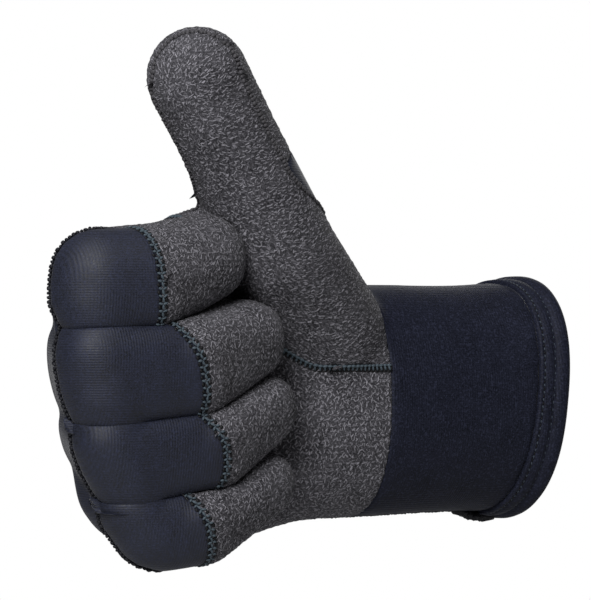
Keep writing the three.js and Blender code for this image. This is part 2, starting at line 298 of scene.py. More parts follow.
def add_flat_part(bm):
    """The cuff and the flat of the hand, lofted through their sections."""
    rows = section_rows()
    start, end = rows[0][0], rows[-1][0]
    bmesh.ops.create_cone(bm, cap_ends=True, segments=SECTION_TURNS, radius1=1, radius2=1, depth=1)
    sides = [e for e in bm.edges if abs(e.verts[0].co.z - e.verts[1].co.z) > 0.5]
    bmesh.ops.subdivide_edges(bm, edges=sides, cuts=SECTION_CUTS, use_grid_fill=True)
    for v in bm.verts:
        x = start + (end - start) * (v.co.z + 0.5)
        v.co = on_section(x, math.atan2(v.co.y, v.co.x))


def relax(skin, rounds):
    """Evens out a skin without moving its edges."""
    inner = [v for v in skin.verts if not v.is_boundary]
    for _ in range(rounds):
        bmesh.ops.smooth_vert(
            skin, verts=inner, factor=0.5, use_axis_x=True, use_axis_y=True, use_axis_z=True
        )


def skinned(bm, voxel, rounds):
    """One smooth closed skin round everything that bm holds."""
    mesh = bpy.data.meshes.new("blank")
    bmesh.ops.recalc_face_normals(bm, faces=bm.faces)
    bm.to_mesh(mesh)
    blank = bpy.data.objects.new("blank", mesh)
    bpy.context.scene.collection.objects.link(blank)
    remesh = blank.modifiers.new("skin", "REMESH")
    remesh.mode = "VOXEL"
    remesh.voxel_size = voxel
    skin = bmesh.new()
    skin.from_object(blank, bpy.context.evaluated_depsgraph_get())
    bpy.data.objects.remove(blank)
    bpy.data.meshes.remove(mesh)
    relax(skin, rounds)
    return skin


finger_joints = {name: joints(rows, FIST_HEIGHT, FINGER_WIDTH) for name, rows in FINGERS.items()}
thumb_joints = joints(THUMB, THUMB_RISE, THUMB_WIDTH)
web_joints = joints(WEB, FIST_HEIGHT, FINGER_WIDTH)

flat_and_thumb = bmesh.new()
add_flat_part(flat_and_thumb)
add_limbs(flat_and_thumb, thumb_joints, THUMB_SQUARE)
add_limbs(flat_and_thumb, web_joints, ROUND)
roots = bmesh.new()
for name, chain in finger_joints.items():
    root = bmesh.new()
    add_limbs(root, chain[:2], FINGER_SQUARES[name])
    line_up(root, chain)
    add_mesh(roots, root)
chains = list(finger_joints.values())
for upper, lower in zip(chains, chains[1:]):
    ends = [(chain[1][0], chain[1][1] * WEBBED) for chain in (upper, lower)]
    add_limb(roots, *ends, ROUND)
rest_tree = BVHTree.FromBMesh(flat_and_thumb)
root_tree = BVHTree.FromBMesh(roots)
add_mesh(flat_and_thumb, roots)
hand_skin = skinned(flat_and_thumb, SKIN_VOXEL, SKIN_ROUNDS)
finger_skins = {}
for name, chain in finger_joints.items():
    blank = bmesh.new()
    add_limbs(blank, chain, FINGER_SQUARES[name])
    line_up(blank, chain)
    finger_skins[name] = skinned(blank, FINGER_VOXEL, FINGER_ROUNDS)


# The seams' places. The panels are cut out of the skin along them, so that two panels that are
# sewn together share one line.
HEM_WIDTH = 11 * MM
MOUTH_SLANT = math.radians(6)
KNUCKLE_SEAM_LEAN = math.radians(15.5)
KNUCKLE_SLOPE = 0.16
SIDE_SEAM = [(-0.2, 0.0), (0.0, 0.0), (0.35, 0.03), (0.66, 0.07), (0.86, -0.46), (1.1, -1.1)]
THUMB_SEAM_TURN = math.radians(33)
THUMB_SEAM_FRONT = 0.28 * THUMB_WIDTH
# Over which heights the side seam of the hand turns into the thumb's
THUMB_SEAM_START = 0.36 * THUMB_RISE
THUMB_SEAM_END = 0.62 * THUMB_RISE
THENAR_SEAM_Z = 0.112 * FIST_HEIGHT
THENAR_SEAM_LIFT = 0.085 * FIST_HEIGHT
# Where along the hand that seam starts and stops rising
THENAR_SEAM_BEND = (0.2, 0.36)
WEB_SEAM_X = lengthwise(0.58)
WEB_TOP_Z = 0.6 * FIST_HEIGHT
# The seam round each finger, on its front: its place along the hand, and how it leans and curves
# towards the palm further down the finger's width
FINGER_SEAMS = {
    "index": (0.776, -0.09, 0.0),
    "middle": (0.666, -0.41, -18.0),
    "ring": (0.591, -0.475, -31.0),
    "little": (0.624, -0.437, -10.0),
}
THUMB_BACK_SEAM = Vector((lengthwise(0.45), -0.45 * FIST_THICKNESS, 0.62 * THUMB_RISE))
NEAR_SEAM = 1e-6


def between(rows, x):
    """The value at x on a broken line through rows of x and value."""
    if x <= rows[0][0]:
        return rows[0][1]
    for (low_x, low), (high_x, high) in zip(rows, rows[1:]):
        if x <= high_x:
            return low + (high - low) * (x - low_x) / (high_x - low_x)
    return rows[-1][1]


def seam_back(co):
    """How far back the seam between the palm side and the back lies."""
    slope = KNUCKLE_SLOPE * max(0.0, FIST_HEIGHT / 4 - co.z)
    along = (-CUFF_LENGTH - co.x + slope) / HAND_LENGTH
    on_hand = between(SIDE_SEAM, along) * FIST_THICKNESS
    rise = co.z / THUMB_RISE
    middle_x = lengthwise(between([(row[2], row[0]) for row in THUMB], rise))
    middle_y = between([(row[2], row[1]) for row in THUMB], rise) * FIST_THICKNESS
    on_thumb = middle_y - math.tan(THUMB_SEAM_TURN) * (co.x - middle_x) - THUMB_SEAM_FRONT
    share = smooth_step(co.z, THUMB_SEAM_START, THUMB_SEAM_END)
    return on_hand * (1 - share) + on_thumb * share


def thenar_seam(co):
    """How high the seam under the ball of the thumb lies: it rises where the fingertips hide it."""
    along = (-co.x - CUFF_LENGTH) / HAND_LENGTH
    return THENAR_SEAM_Z + THENAR_SEAM_LIFT * smooth_step(along, *THENAR_SEAM_BEND)


def knuckle_rows():
    """Each knuckle's height, its place, and the slope of the fold in front of it."""
    rows = []
    for chain in finger_joints.values():
        root, knuckle, seam = (middle for middle, _ in chain[:3])
        down = (knuckle - root).xy.normalized()
        away = (seam - knuckle).xy.normalized()
        fold = (away - down).normalized()
        rows.append((knuckle.z, knuckle.x, knuckle.y, fold.y / fold.x))
    return sorted(rows)


KNUCKLES = knuckle_rows()


def knuckle_seam(co):
    """How far back the knuckle seam lies, and past the knuckle the fold behind the bent finger."""
    x, y, slope = (between([(row[0], row[k]) for row in KNUCKLES], co.z) for k in (1, 2, 3))
    if co.x > x:
        return y + (co.x - x) * slope
    return y + (x - co.x) * math.tan(KNUCKLE_SEAM_LEAN)


def around(faces):
    """The faces with their edges and vertices."""
    edges = [e for f in faces for e in f.edges]
    verts = [v for f in faces for v in f.verts]
    return list(dict.fromkeys([*faces, *edges, *verts]))


def cut(bm, axis, seam, faces=None):
    """Cuts faces of bm along a seam, whose place along one axis depends on the other two."""
    direction = Vector([float(k == axis) for k in range(3)])
    faces = list(bm.faces) if faces is None else faces
    for v in bm.verts:
        v.co[axis] -= seam(v.co)
    bmesh.ops.bisect_plane(
        bm, geom=around(faces), dist=NEAR_SEAM, plane_co=(0, 0, 0), plane_no=direction,
    )
    for v in bm.verts:
        v.co[axis] += seam(v.co)


def drop_faces(bm, dropped):
    bmesh.ops.delete(bm, geom=[f for f in bm.faces if dropped(f)], context="FACES")


# A scrap has fewer than this share of the main piece's faces
SCRAP_SHARE = 0.04


def drop_scraps(bm):
    """Drops the small scraps that a cut leaves beside the main piece."""
    left = set(bm.faces)
    islands = []
    for first in bm.faces:
        if first not in left:
            continue
        left.discard(first)
        island = [first]
        for face in island:
            beside = [f for e in face.edges for f in e.link_faces if f in left]
            left.difference_update(beside)
            island += dict.fromkeys(beside)
        islands.append(island)
    islands.sort(key=len)
    for island in islands:
        if len(island) < len(islands[-1]) * SCRAP_SHARE:
            bmesh.ops.delete(bm, geom=island, context="FACES")


# Where the bent fingers lie against each other and against the palm, the foam of both gives way
# by about half, so that they meet on a flat face with a dark crease at its edge.
PRESSED_GAP = 0.15 * MM
PRESS_REACH = 7 * MM
PRESS_ROUNDS = 3
# How deep in a finger the hand's skin is left out
BURIED = 2.2 * MM


def depth_in(tree, co, reach):
    """How deep a point lies inside a closed skin, and the way out."""
    spot, normal, _, _ = tree.find_nearest(co, reach)
    if spot is None:
        return -reach, Vector()
    return (spot - co).dot(normal), normal


def press(skin, trees):
    """Pushes a skin half way out of each of the closed skins that it runs into."""
    for v in skin.verts:
        push = Vector()
        for tree in trees:
            depth, out = depth_in(tree, v.co, PRESS_REACH)
            if depth > -PRESSED_GAP:
                push += out * (depth + PRESSED_GAP) / 2
        v.co += push


hand_tree = BVHTree.FromBMesh(hand_skin)
finger_trees = {name: BVHTree.FromBMesh(skin) for name, skin in finger_skins.items()}
order = list(FINGERS)
root_faces = []
for face in hand_skin.faces:
    middle = face.calc_center_median()
    own = root_tree.find_nearest(middle)[3]
    if own < rest_tree.find_nearest(middle)[3]:
        root_faces.append(face)
cut(hand_skin, 1, knuckle_seam, root_faces)


def hidden_by_fingers(face):
    """Whether a face lies in a bent finger, or is a finger's root in front of the knuckle seam."""
    middle = face.calc_center_median()
    if any(depth_in(tree, middle, PRESS_REACH)[0] > BURIED for tree in finger_trees.values()):
        return True
    if middle.y > knuckle_seam(middle):
        return False
    return root_tree.find_nearest(middle)[3] < rest_tree.find_nearest(middle)[3]


drop_faces(hand_skin, hidden_by_fingers)
drop_scraps(hand_skin)
for k, name in enumerate(order):
    skin = finger_skins[name]
    cut(skin, 1, knuckle_seam)
    drop_faces(skin, lambda f: f.calc_center_median().y > knuckle_seam(f.calc_center_median()))
    drop_scraps(skin)
    beside = [finger_trees[other] for other in order[max(k - 1, 0):k + 2] if other != name]
    press(skin, [*beside, hand_tree])
    relax(skin, PRESS_ROUNDS)
press(hand_skin, list(finger_trees.values()))

# The panels of the hand and the cuff, told apart by the seams round them.
mouthward = Vector((math.cos(MOUTH_SLANT), 0, -math.sin(MOUTH_SLANT)))
thumbward = (thumb_joints[3][0] - thumb_joints[1][0]).normalized()
cut(hand_skin, 0, lambda co: -HEM_WIDTH / mouthward.x - mouthward.z / mouthward.x * co.z)
cut(hand_skin, 0, lambda co: -CUFF_LENGTH)
past_cuff = [f for f in hand_skin.faces if f.calc_center_median().x < -CUFF_LENGTH]
cut(hand_skin, 1, seam_back, past_cuff)


def in_front(face):
    """Whether a face is on the palm side of the seam round the hand."""
    middle = face.calc_center_median()
    return middle.x < -CUFF_LENGTH and middle.y < seam_back(middle)


cut(hand_skin, 2, lambda co: WEB_TOP_Z, [f for f in hand_skin.faces if in_front(f)])
cut(hand_skin, 2, thenar_seam, [f for f in hand_skin.faces if in_front(f)])
cut(hand_skin, 0, lambda co: WEB_SEAM_X, [f for f in hand_skin.faces if in_front(f)])
thumb_tip = [
    f for f in hand_skin.faces if f.calc_center_median().z > WEB_TOP_Z and not in_front(f)
]
bmesh.ops.bisect_plane(
    hand_skin, geom=around(thumb_tip), dist=NEAR_SEAM, plane_co=THUMB_BACK_SEAM, plane_no=thumbward,
)


def panel_of(face):
    """The panel that a face of the hand's skin belongs to, or None under the hem."""
    middle = face.calc_center_median()
    if middle.dot(mouthward) > -HEM_WIDTH:
        return None
    if middle.x > -CUFF_LENGTH:
        return "cuff"
    if not in_front(face):
        tip = middle.z > WEB_TOP_Z and (middle - THUMB_BACK_SEAM).dot(thumbward) > 0
        return "thumb_tip_back" if tip else "hand_back"
    if middle.z > WEB_TOP_Z or (middle.z > thenar_seam(middle) and middle.x > WEB_SEAM_X):
        return "thumb_panel"
    return "palm"


def part_of(skin, belongs):
    """A copy of the faces of a skin that belong."""
    part = skin.copy()
    drop_faces(part, lambda f: not belongs(f))
    drop_scraps(part)
    return part


def runs(edges):
    """Edges joined end to end, as runs of vertices."""
    beside = {}
    for edge in edges:
        for v in edge.verts:
            beside.setdefault(v, []).append(edge.other_vert(v))
    left = {frozenset(edge.verts) for edge in edges}
    ends = [v for v, others in beside.items() if len(others) != 2]
    found = []
    for start in ends + list(beside):
        for after in beside[start]:
            run = [start]
            while frozenset((run[-1], after)) in left:
                left.remove(frozenset((run[-1], after)))
                run.append(after)
                after = next((v for v in beside[after] if frozenset((after, v)) in left), start)
            if len(run) > 2:
                found.append(run)
    return found


def stations(run, pitch):
    """Places a pitch apart along a run: the spot, the way along it and the way out of the skin."""
    spots = [v.co.copy() for v in run]
    outs = [v.normal.copy() for v in run]
    for _ in range(4):
        middles = zip(spots, spots[1:], spots[2:])
        spots = [spots[0], *((a + b * 2 + c) / 4 for a, b, c in middles), spots[-1]]
        middles = zip(outs, outs[1:], outs[2:])
        outs = [outs[0], *((a + b * 2 + c) / 4 for a, b, c in middles), outs[-1]]
    reach = [0.0]
    for a, b in zip(spots, spots[1:]):
        reach.append(reach[-1] + (b - a).length)
    count = max(1, round(reach[-1] / pitch))
    places = []
    k = 0
    for i in range(count):
        at = (i + 0.5) * reach[-1] / count
        while reach[k + 1] < at:
            k += 1
        share = (at - reach[k]) / max(reach[k + 1] - reach[k], 1e-9)
        out = outs[k].lerp(outs[k + 1], share).normalized()
        along = spots[k + 1] - spots[k]
        along = (along - out * along.dot(out)).normalized()
        places.append((spots[k].lerp(spots[k + 1], share), along, out))
    return places


def seam_between(one, other):
    """The runs of the seam between two panels of the hand."""
    pair = {one, other}
    edges = [
        e for e in hand_skin.edges
        if len(e.link_faces) == 2 and {names[f.index] for f in e.link_faces} == pair
    ]
    return runs(edges)


panels = {}
hand_skin.normal_update()
hand_skin.faces.index_update()
names = {f.index: panel_of(f) for f in hand_skin.faces}
THENAR_PITCH = 1.5 * MM
OVERLOCK_PITCH = 1.25 * MM
thenar_stations = [
    place for run in seam_between("palm", "thumb_panel") for place in stations(run, THENAR_PITCH)
]
EDGE_PAIRS = [
    ("palm", "hand_back"), ("thumb_panel", "hand_back"), ("thumb_panel", "thumb_tip_back"),
]
edge_stations = {
    pair: [place for run in seam_between(*pair) for place in stations(run, OVERLOCK_PITCH)]
    for pair in EDGE_PAIRS
}
for name in ("cuff", "hand_back", "palm", "thumb_panel", "thumb_tip_back"):
    panels[name] = part_of(hand_skin, lambda f: names[f.index] == name)


def finger_seam(name, co):
    """Where the seam between a finger's navy back and its grey tip lies along the hand."""
    along, lean, curve = FINGER_SEAMS[name]
    aside = co.z - finger_joints[name][2][0].z
    return lengthwise(along) + lean * aside + curve * aside**2


def ahead(name, face):
    """Whether a face of a finger is on the tip's side of its seam."""
    middle = face.calc_center_median()
    return middle.x > finger_seam(name, middle)


FINGER_STITCH_PITCH = 2.15 * MM
finger_stations = {}
knuckle_stations = {}
for name, skin in finger_skins.items():
    cut(skin, 0, lambda co: finger_seam(name, co))
    skin.normal_update()
    across = [e for e in skin.edges if len({ahead(name, f) for f in e.link_faces}) == 2]
    finger_stations[name] = [p for run in runs(across) for p in stations(run, FINGER_STITCH_PITCH)]
    rim = [e for e in skin.edges if e.is_boundary]
    knuckle_stations[name] = [p for run in runs(rim) for p in stations(run, OVERLOCK_PITCH)]
    panels["fingertip_" + name] = part_of(skin, lambda f: ahead(name, f))
    panels["finger_back_" + name] = part_of(skin, lambda f: not ahead(name, f))


# The fabrics. Neoprene foam is faced with knitted nylon: a fine navy jersey on the back and the
# fingers, a flatter and darker one on the cuff, and a coarse knobbly grip knit on the palm side,
# whose short raised threads are painted pale: a painted highlight where they catch the light.


class Wire:
    """A value inside a material, so that shader maths reads as plain expressions."""

    def __init__(self, paint, socket):
        self.paint = paint
        self.socket = socket

    def maths(self, operation, *values):
        return self.paint.node("ShaderNodeMath", {"operation": operation}, dict(enumerate(values)))

    def __add__(self, other):
        return self.maths("ADD", self, other)

    def __radd__(self, other):
        return self.maths("ADD", other, self)

    def __sub__(self, other):
        return self.maths("SUBTRACT", self, other)

    def __rsub__(self, other):
        return self.maths("SUBTRACT", other, self)

    def __mul__(self, other):
        return self.maths("MULTIPLY", self, other)

    def __pow__(self, other):
        return self.maths("POWER", self, other)

    def __abs__(self):
        return self.maths("ABSOLUTE", self)


class Paint:
    """A procedural material. Its constants are named as the shader's sockets are."""

    def __init__(self, name, constants):
        self.material = bpy.data.materials.new(name)
        self.material.use_nodes = True
        self.tree = self.material.node_tree
        self.shader = next(n for n in self.tree.nodes if n.type == "BSDF_PRINCIPLED")
        for socket, value in constants.items():
            self.shader.inputs[socket].default_value = value
        self.place = self.node("ShaderNodeTexCoord", out="Object")
        self.normal = self.node("ShaderNodeTexCoord", out="Normal")

    def node(self, kind, settings=None, values=None, out=0):
        made = self.tree.nodes.new(kind)
        for name, value in (settings or {}).items():
            setattr(made, name, value)
        for socket, value in (values or {}).items():
            if isinstance(value, Wire):
                self.tree.links.new(value.socket, made.inputs[socket])
            else:
                made.inputs[socket].default_value = value
        return Wire(self, made.outputs[out])

    def vector(self, operation, *values, out=0):
        settings = {"operation": operation}
        return self.node("ShaderNodeVectorMath", settings, dict(enumerate(values)), out)

    def most(self, one, other):
        return self.node("ShaderNodeMath", {"operation": "MAXIMUM"}, {0: one, 1: other})

    def sine(self, wire):
        return self.node("ShaderNodeMath", {"operation": "SINE"}, {0: wire})

    def dot(self, one, other):
        return self.vector("DOT_PRODUCT", one, other, out="Value")

    def scaled(self, vector, amount):
        return self.node("ShaderNodeVectorMath", {"operation": "SCALE"}, {0: vector, 3: amount})

    def noise(self, size, detail=2.0, place=None):
        values = {"Vector": place or self.place, "Scale": 1 / size, "Detail": detail}
        return self.node("ShaderNodeTexNoise", {"noise_dimensions": "3D"}, values)

    def step(self, value, low, high):
        values = {"Value": value, "From Min": low, "From Max": high}
        return self.node("ShaderNodeMapRange", {"interpolation_type": "SMOOTHSTEP"}, values)

    def mix(self, share, dark, light):
        settings = {"data_type": "RGBA"}
        return self.node("ShaderNodeMix", settings, {0: share, 6: dark, 7: light}, out=2)

    def feed(self, socket, wire):
        self.tree.links.new(wire.socket, self.shader.inputs[socket])

    def bump(self, height, depth):
        values = {"Distance": depth, "Height": height, "Strength": 1.0}
        threads_and_glints = self.node("ShaderNodeBump", {}, values)
        self.feed("Normal", threads_and_glints)


def linear(red, green, blue):
    """A colour given as it looks on a screen, 0 to 255, as the light it is."""
    def one(value):
        share = value / 255
        return share / 12.92 if share <= 0.04045 else ((share + 0.055) / 1.055) ** 2.4
    return (one(red), one(green), one(blue), 1.0)


# Half a thread's length, and where its rounded side starts and ends, as shares of the pitch
THREAD_HALF = 0.24
THREAD_TOP = 0.04
THREAD_SIDE = 0.15


def threads(paint, pitch, shift, heading, stray):
    """Short raised threads that lie on the surface, each its own way round a heading and its own
    brightness. Their paleness is a painted highlight, as where each thread catches the light."""
    spot = paint.vector("ADD", paint.scaled(paint.place, 1 / pitch), shift)
    cells = {"Vector": spot, "Scale": 1.0, "Randomness": 0.9}
    middle = paint.node("ShaderNodeTexVoronoi", {}, cells, out="Position")
    chance = paint.node("ShaderNodeTexVoronoi", {}, cells, out="Color")
    away = paint.vector("SUBTRACT", spot, middle)
    flat = paint.vector("SUBTRACT", away, paint.scaled(paint.normal, paint.dot(away, paint.normal)))
    own = paint.vector("SUBTRACT", chance, (0.5, 0.5, 0.5))
    way = paint.vector("ADD", paint.scaled(own, stray), heading)
    way = paint.vector("SUBTRACT", way, paint.scaled(paint.normal, paint.dot(way, paint.normal)))
    way = paint.vector("NORMALIZE", way)
    along = paint.dot(flat, way)
    past = paint.most(abs(along) - THREAD_HALF, 0.0)
    aside = paint.most(paint.dot(flat, flat) - along * along, 0.0)
    distance = (past * past + aside) ** 0.5
    # Each thread's own brightness: the strength of its painted highlight.
    own_glint = paint.node("ShaderNodeSeparateXYZ", {}, {0: chance}, out="Z")
    return (1 - paint.step(distance, THREAD_TOP, THREAD_SIDE)) * (0.1 + own_glint)


def grip_fabric(name, heading, stray):
    """Three layers of raised threads over a dark ground, painted pale as highlights. They stray from
    their heading.
    """
    paint = Paint(name, {"Sheen Weight": 0.05, "Sheen Roughness": 0.5, "Specular IOR Level": 0.25})
    first = threads(paint, 1.9 * MM, (0.0, 0.0, 0.0), heading, stray)
    second = threads(paint, 1.7 * MM, (3.7, 8.1, 5.3), heading, stray)
    third = threads(paint, 1.6 * MM, (9.2, 2.4, 6.6), heading, stray)
    threads_and_glints = paint.most(paint.most(first, second), third * 0.8)
    grain = paint.noise(0.5 * MM, 3.0)
    patches = paint.noise(9 * MM)
    share = threads_and_glints * 0.95 + (grain - 0.5) * 0.7 + (patches - 0.5) * 0.2 + 0.15
    # The threads' pale colour is a painted highlight on the yarn; the grain and the patches are the
    # knit's own tone.
    paint.feed("Base Color", paint.mix(share, linear(12, 12, 17), linear(149, 147, 155)))
    paint.feed("Roughness", 0.85 - threads_and_glints * 0.25)
    paint.bump(threads_and_glints + grain * 0.3, 0.45 * MM)
    return paint.material


RIB_ROW = 0.72 * MM
RIB_COLUMN = 0.85 * MM


def jersey(name, dark, light, rib_depth, specks, shine):
    """Fine ribs, lengthwise where it is stretched one way and crosswise elsewhere, with specks."""
    constants = {
        "Sheen Weight": 0.1, "Sheen Roughness": 0.3, "Specular IOR Level": 0.5 * shine,
    }
    paint = Paint(name, constants)
    x = paint.node("ShaderNodeSeparateXYZ", {}, {0: paint.place}, out="X")
    z = paint.node("ShaderNodeSeparateXYZ", {}, {0: paint.place}, out="Z")
    rows = paint.sine(z * (2 * math.pi / RIB_ROW))
    columns = paint.sine(x * (2 * math.pi / RIB_COLUMN))
    stretched = paint.step(paint.noise(22 * MM), 0.4, 0.6)
    ribs = rows * stretched + columns * (1 - stretched)
    grain = paint.noise(0.45 * MM, 3.0)
    patches = paint.noise(7 * MM)
    elsewhere = paint.vector("ADD", paint.place, (1, 2, 3))
    pale = paint.step(paint.noise(0.7 * MM, 1.0, elsewhere), 0.52, 0.7)
    share = 0.36 + ribs * rib_depth + pale * specks + (grain - 0.5) * 1.4 + (patches - 0.5) * 0.4
    paint.feed("Base Color", paint.mix(share, dark, light))
    paint.feed("Roughness", 0.66 + (grain - 0.5) * 0.5)
    paint.bump(ribs * 0.35 + grain, 0.07 * MM)
    return paint.material


RANDOM_WAYS = 2.2
NEARLY_ONE_WAY = 0.9
grip = grip_fabric("grip knit", (0.12, 0.08, 0.2), RANDOM_WAYS)
thumb_grip = grip_fabric("thumb grip knit", (0.62, 0.42, 0.16), NEARLY_ONE_WAY)
navy = jersey("navy jersey", linear(3, 5, 15), linear(37, 43, 68), 0.1, 0.3, 1.1)
cuff_navy = jersey("cuff jersey", linear(8, 10, 20), linear(40, 43, 60), 0.03, 0.6, 0.3)
FABRICS = {"navy_jersey": navy, "navy_cuff_jersey": cuff_navy, "grey_grip_fabric": grip}

# The panels themselves. At each seam the thread pulls the edge in and down, which leaves the
# narrow dark line that is seen between two panels. The grip knit is knobbly all over.
# How far the first, second and third row of points from an edge dip
EDGE_DIPS = [0.5 * MM, 0.22 * MM, 0.06 * MM]
KNOB_SIZE = 1.1 * MM
KNOB_HEIGHT = 0.28 * MM


def dip_edges(panel):
    """Pulls a panel's edges in."""
    ring = {v for e in panel.edges if e.is_boundary for v in e.verts}
    done = set()
    moves = {}
    for dip in EDGE_DIPS:
        for v in ring:
            moves[v] = v.normal * -dip
        done |= ring
        ring = {w for v in ring for e in v.link_edges for w in e.verts} - done
    for v, move in moves.items():
        v.co += move


def rough_up(panel, size, height):
    """Gives a panel knobs of a size and height."""
    for v in panel.verts:
        v.co += v.normal * (noise.noise(v.co / size) * height)


def applied(obj):
    """Replaces an object's mesh by what its modifiers make of it."""
    made = bpy.data.meshes.new_from_object(obj.evaluated_get(bpy.context.evaluated_depsgraph_get()))
    obj.modifiers.clear()
    obj.data = made
    made.shade_smooth()


def make_piece(name, bm, material, replaced=(), wall=0.0):
    """A piece of the scene made of bm, with a wall inwards if one is given."""
    mesh = bpy.data.meshes.new(name)
    bm.to_mesh(mesh)
    bm.free()
    mesh.materials.append(material)
    piece = bpy.data.objects.new(name, mesh)
    bpy.context.scene.collection.objects.link(piece)
    if wall:
        solid = piece.modifiers.new("wall", "SOLIDIFY")
        solid.thickness = wall
        solid.offset = -1
    applied(piece)
    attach(piece, "root")
    if replaced:
        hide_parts(*replaced)


slots = {row["node"]: row["material_slot"] for row in frame["record"]["subparts"]}
for name, panel in panels.items():
    fabric = slots[name]
    dip_edges(panel)
    if fabric == "grey_grip_fabric":
        bmesh.ops.subdivide_edges(panel, edges=panel.edges, cuts=1, use_grid_fill=True)
        relax(panel, 1)
        panel.normal_update()
        rough_up(panel, KNOB_SIZE, KNOB_HEIGHT)
    material = thumb_grip if name.startswith("thumb") else FABRICS[fabric]
    make_piece(name + "_cloth", panel, material, [name], WALL)

# The hem: the cuff's end, folded to the outside round the mouth and sewn down with two rows of
# stitches, so that it stands 2 mm proud with a rounded lip.
HEM_AROUND = 300
# In mm, along: from the mouth towards the hand; out: from the cuff's surface
HEM_ROWS = (9.7, 6.0)
HEM_PROFILE = [
    (11.1, -0.3), (11.15, 0.45), (10.95, 0.85), (10.5, 1.0), (10.1, 0.9), (9.7, 0.6), (9.3, 0.9),
    (8.4, 1.2), (7.4, 1.3), (6.6, 1.2), (6.0, 0.8), (5.4, 1.25), (4.6, 1.75), (3.6, 2.05),
    (2.5, 2.1), (1.5, 1.8), (0.7, 1.15), (0.15, 0.2), (0.0, -0.8), (0.15, -1.8), (0.6, -2.6),
    (1.3, -3.0), (3.0, -3.0), (6.0, -3.0), (9.0, -3.4), (11.0, -3.6), (11.2, -1.5),
]


def hem_point(turn, along, out):
    """A point of the hem, whose rim lies on the slanted mouth."""
    x = 0.0
    for _ in range(3):
        z = on_section(x, turn, out).z
        x = (-along - mouthward.z * z) / mouthward.x
    return on_section(x, turn, out)


hem = bmesh.new()
bmesh.ops.create_cone(hem, cap_ends=False, segments=HEM_AROUND, radius1=1, radius2=1, depth=1)
sides = [e for e in hem.edges if abs(e.verts[0].co.z - e.verts[1].co.z) > 0.5]
rows = [*HEM_PROFILE, HEM_PROFILE[0]]
bmesh.ops.subdivide_edges(hem, edges=sides, cuts=len(rows) - 2, use_grid_fill=True)
for v in hem.verts:
    along, out = rows[round((v.co.z + 0.5) * (len(rows) - 1))]
    v.co = hem_point(math.atan2(v.co.y, v.co.x), along * MM, out * MM)
bmesh.ops.remove_doubles(hem, verts=hem.verts, dist=1e-6)
bmesh.ops.recalc_face_normals(hem, faces=hem.faces)
make_piece("cuff_hem_cloth", hem, cuff_navy, ["cuff_hem"])

# The stitches. Each finger's seam is a flat ladder of pale blue-grey thread between two rows of
# needle holes, drawn as black beads: painted shade in the holes. The seam under the ball of the
# thumb
# is a dense whipped row with black beads between its teeth and a black line of beads below it:
# painted shade in its holes and a painted shadow under the raised seam. The hem has two plain rows,
# with black beads of painted shade in their holes. Each stitch is a small soft bead of thread, drawn
# into the fabric at its ends.
BEAD_WANDER = 0.12


def add_bead(bm, spot, along, out, size, turn=0.0, aside=0.0, lift=0.0):
    """A soft bead of thread on a seam: half its length, width and height, and its turn."""
    side = out.cross(along)
    way = along * math.cos(turn) + side * math.sin(turn)
    middle = spot + side * aside + out * lift
    bead = bmesh.ops.create_uvsphere(bm, u_segments=6, v_segments=4, radius=1)["verts"]
    for v in bead:
        stretched = way * v.co.x * size[0] + out.cross(way) * v.co.y * size[1]
        stretched += out * v.co.z * size[2]
        v.co = middle + stretched * MM


def thread_material(name, dark, light):
    paint = Paint(name, {"Specular IOR Level": 0.35})
    grain = paint.noise(0.3 * MM, 3.0)
    paint.feed("Base Color", paint.mix(grain, dark, light))
    paint.feed("Roughness", 0.5 + grain * 0.3)
    paint.bump(grain, 0.08 * MM)
    return paint.material


pale_thread = thread_material("pale thread", linear(26, 33, 40), linear(92, 106, 116))
hem_thread = thread_material("hem thread", linear(30, 36, 46), linear(74, 84, 96))
dark_thread = thread_material("dark thread", linear(8, 8, 12), linear(26, 27, 36))
grey_thread = thread_material("grey thread", linear(24, 24, 28), linear(92, 90, 94))
# Near black: painted shade in the needle holes and a painted shadow under the thumb's seam.
painted_shade = thread_material("painted shade", linear(2, 2, 4), linear(8, 8, 12))
chance = random.Random(7)


def near(amount, spread=BEAD_WANDER):
    """About that amount: no two stitches are quite alike."""
    return amount * (1 + chance.uniform(-spread, spread))


LADDER_HALF = 1.15
LADDER_LIFT = 0.08 * MM


def make_ladder(name, places, half_width):
    """A flat ladder stitch: slanted rungs and a middle row of pale thread, black beads of painted
    hole shade at both sides.
    """
    light = bmesh.new()
    shade_beads = bmesh.new()
    for spot, along, out in places:
        slant = near(0.35, 0.5)
        for way in (-1, 1):
            half = half_width * way * MM
            # Black beads at both sides: painted shade in the needle holes.
            add_bead(shade_beads, spot, along, out, (near(0.62), near(0.55), 0.24), 0, half * near(1.0), 0)
            rung = spot + along * (FINGER_STITCH_PITCH / 2)
            turn = math.pi / 2 + slant * way
            bead = (near(0.8), near(0.4), 0.36)
            add_bead(light, rung, along, out, bead, turn, half * 0.6, LADDER_LIFT)
        bead = (near(1.15), near(0.42), 0.36)
        add_bead(light, spot, along, out, bead, near(0.2, 1.0), 0.1 * MM, LADDER_LIFT)
    make_piece(name + "_thread", light, pale_thread)
    make_piece(name + "_holes", shade_beads, painted_shade)


for name in FINGERS:
    make_ladder("finger_seam_" + name, finger_stations[name], LADDER_HALF)

